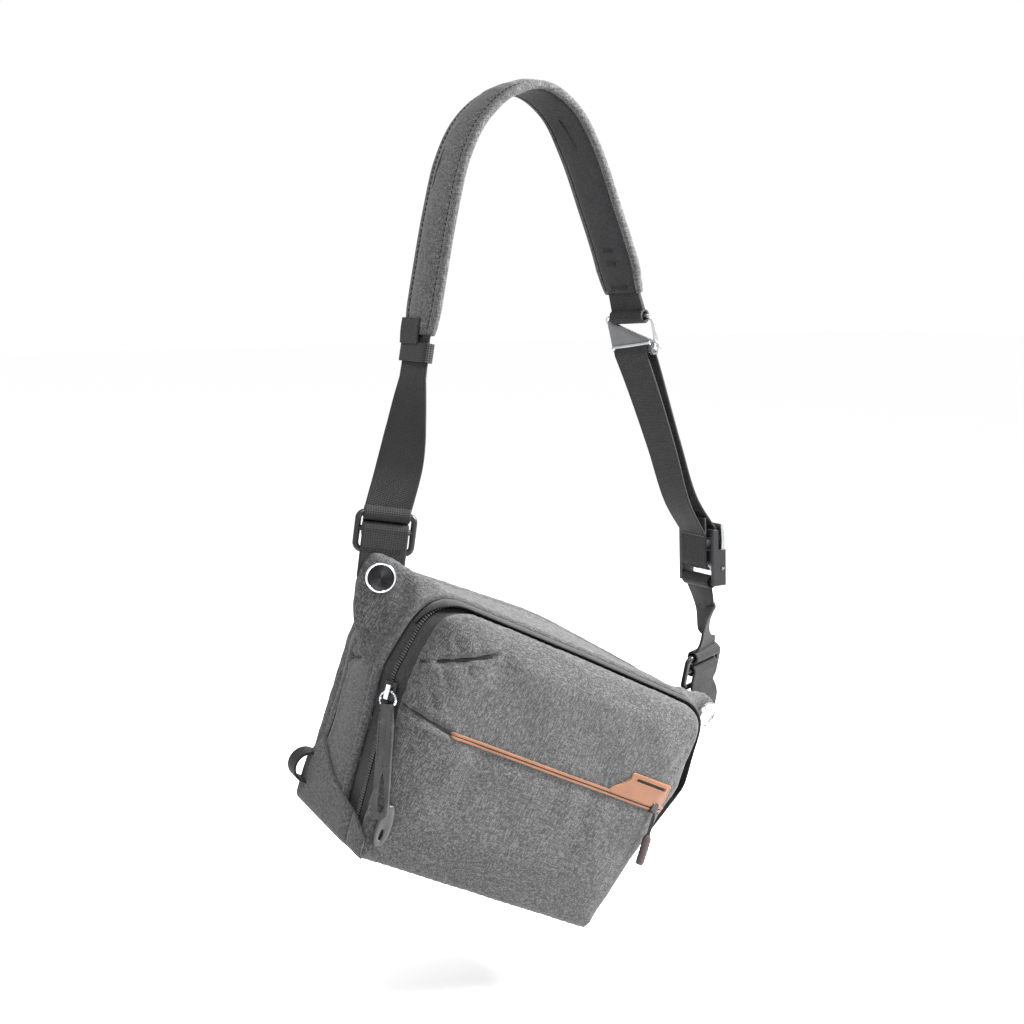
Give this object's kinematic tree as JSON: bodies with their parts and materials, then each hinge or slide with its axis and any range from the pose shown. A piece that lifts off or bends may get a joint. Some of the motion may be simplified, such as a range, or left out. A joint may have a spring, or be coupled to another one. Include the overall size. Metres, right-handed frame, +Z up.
{
  "type": "camera sling bag",
  "caption": "camera sling bag hanging from a padded strap, with swivel-hub wings, buckle frames, a quick adjuster, a zipped drop-front panel with front pocket and padded dividers",
  "frame": {"origin": "the underside of the strap's highest point, where a peg, hand or shoulder carries the bag", "axes": "+Z up as the bag hangs, +X along the strap's plane towards the bag's lower (right) end, -Y towards the front panel; the bag itself is turned about 25 degrees in that plane and tips 9 degrees forward"},
  "size_m": [0.329, 0.1306, 0.5992],
  "materials": {
    "melange_fabric": "woven melange, matte",
    "dark_fabric": "plain weave, matte",
    "lining_fabric": "soft lining, matte",
    "air_mesh": "spacer mesh, matte",
    "webbing": "ribbed nylon webbing",
    "hypalon": "matte rubberised sheet",
    "tan_trim": "smooth matte leather",
    "black_metal": "semi-gloss black coat",
    "chrome": "polished",
    "aluminium": "satin anodised",
    "grip_rubber": "matte",
    "coil_plastic": "woven zip coil"
  },
  "bodies": {
    "pad": {"pad_cover": "melange_fabric", "pad_lining": "lining_fabric", "pad_bartack": "webbing", "pad_end_loop": "webbing", "hook_plate": "aluminium"},
    "left_arm": {"webbing_left": "webbing", "keeper_loop": "webbing", "frame_left": "black_metal", "anchor_left": "webbing"},
    "bag_body": {"back_panel": "dark_fabric", "back_mesh": "air_mesh", "body_shell": "melange_fabric", "body_lining": "lining_fabric", "lining_back": "lining_fabric", "floor_pad": "lining_fabric", "inner_pocket": "lining_fabric", "divider_left": "lining_fabric", "divider_right": "lining_fabric", "end_wrap_left": "melange_fabric", "end_wrap_right": "melange_fabric", "zip_gusset_body": "dark_fabric", "zip_coil_body": "coil_plastic", "hinge_piping": "melange_fabric", "end_loop_left": "webbing", "end_loop_right": "webbing", "wing_left": "melange_fabric", "wing_right": "melange_fabric", "hub_rim_left": "chrome", "hub_face_left": "black_metal", "hub_post_left": "black_metal", "hub_rim_right": "chrome", "hub_face_right": "aluminium", "hub_post_right": "black_metal"},
    "divider_flap_left": {"divider_left_flap": "lining_fabric"},
    "divider_flap_right": {"divider_right_flap": "lining_fabric"},
    "hatch": {"zip_coil_hatch": "coil_plastic", "zip_gusset_hatch": "dark_fabric", "hatch_panel": "melange_fabric", "hatch_lining": "lining_fabric", "hatch_pocket": "air_mesh", "pocket_panel": "melange_fabric", "trim_upper": "tan_trim", "trim_lower": "tan_trim", "label_tab": "tan_trim", "zip_end_tab": "hypalon"},
    "main_slider": {"zip_slider": "black_metal", "zip_crown": "chrome"},
    "main_ring": {"zip_ring": "chrome"},
    "main_pull": {"main_pull": "hypalon"},
    "pocket_slider": {"pocket_slider": "black_metal"},
    "pocket_pull": {"pocket_pull_cord": "webbing", "pocket_pull_grip": "grip_rubber"},
    "right_arm": {"webbing_right": "webbing", "adjuster_body": "black_metal", "lever_pin": "aluminium", "webbing_lower": "webbing", "frame_right": "black_metal", "anchor_right": "webbing"},
    "lever": {"adjuster_lever": "aluminium"}
  },
  "joints": [
    {"name": "strap_sway", "type": "hinge", "parent": "pad", "child": "left_arm", "pos_m": [-0.0886, 0, -0.164], "axis": [0, 1, 0], "range_deg": [-6, 6]},
    {"name": "hub_left_swivel", "type": "hinge", "parent": "left_arm", "child": "bag_body", "pos_m": [-0.12051, 0, -0.32176], "axis": [0, 1, 0], "range_deg": [-9, 9]},
    {"name": "hub_right_swivel", "type": "hinge", "parent": "bag_body", "child": "right_arm", "pos_m": [0.155, 0, -0.45258], "axis": [0, 1, 0], "range_deg": [-9, 9]},
    {"name": "hatch_hinge", "type": "hinge", "parent": "bag_body", "child": "hatch", "pos_m": [-0.05777, -0.00938, -0.54514], "axis": [0.9033, 0, -0.4289], "range_deg": [0, 75]},
    {"name": "main_zip_slide", "type": "slide", "parent": "hatch", "child": "main_slider", "axis": [-0.2332, 0.1549, -0.96], "range_m": [0, 0.055]},
    {"name": "ring_lift", "type": "hinge", "parent": "main_slider", "child": "main_ring", "pos_m": [-0.13006, -0.03014, -0.39361], "axis": [-0.6243, 0.7413, 0.2464], "range_deg": [0, 70]},
    {"name": "pull_sway", "type": "hinge", "parent": "main_ring", "child": "main_pull", "pos_m": [-0.13095, -0.03091, -0.39909], "axis": [0.7394, 0.6396, -0.2104], "range_deg": [-22, 22]},
    {"name": "pocket_zip_slide", "type": "slide", "parent": "hatch", "child": "pocket_slider", "axis": [-0.9033, 0, 0.4289], "range_m": [0, 0.18]},
    {"name": "pocket_pull_swing", "type": "hinge", "parent": "pocket_slider", "child": "pocket_pull", "pos_m": [0.07389, -0.05067, -0.50567], "axis": [0.0678, 0.9874, 0.1429], "range_deg": [-35, 35]},
    {"name": "adjuster_lever_hinge", "type": "hinge", "parent": "right_arm", "child": "lever", "pos_m": [0.15674, 0, -0.33882], "axis": [0, 1, 0], "range_deg": [0, 65]},
    {"name": "divider_left_fold", "type": "hinge", "parent": "bag_body", "child": "divider_flap_left", "pos_m": [-0.03836, 0.01039, -0.418], "axis": [-0.0678, -0.9874, -0.1429], "range_deg": [0, 85]},
    {"name": "divider_right_fold", "type": "hinge", "parent": "bag_body", "child": "divider_flap_right", "pos_m": [0.03391, 0.01039, -0.45232], "axis": [0.0678, 0.9874, 0.1429], "range_deg": [0, 85]}
  ],
  "couplings": [
    {"joint": "hub_left_swivel", "follows": "strap_sway", "ratio": -0.7158},
    {"joint": "hub_right_swivel", "follows": "strap_sway", "ratio": 0.4253}
  ]
}
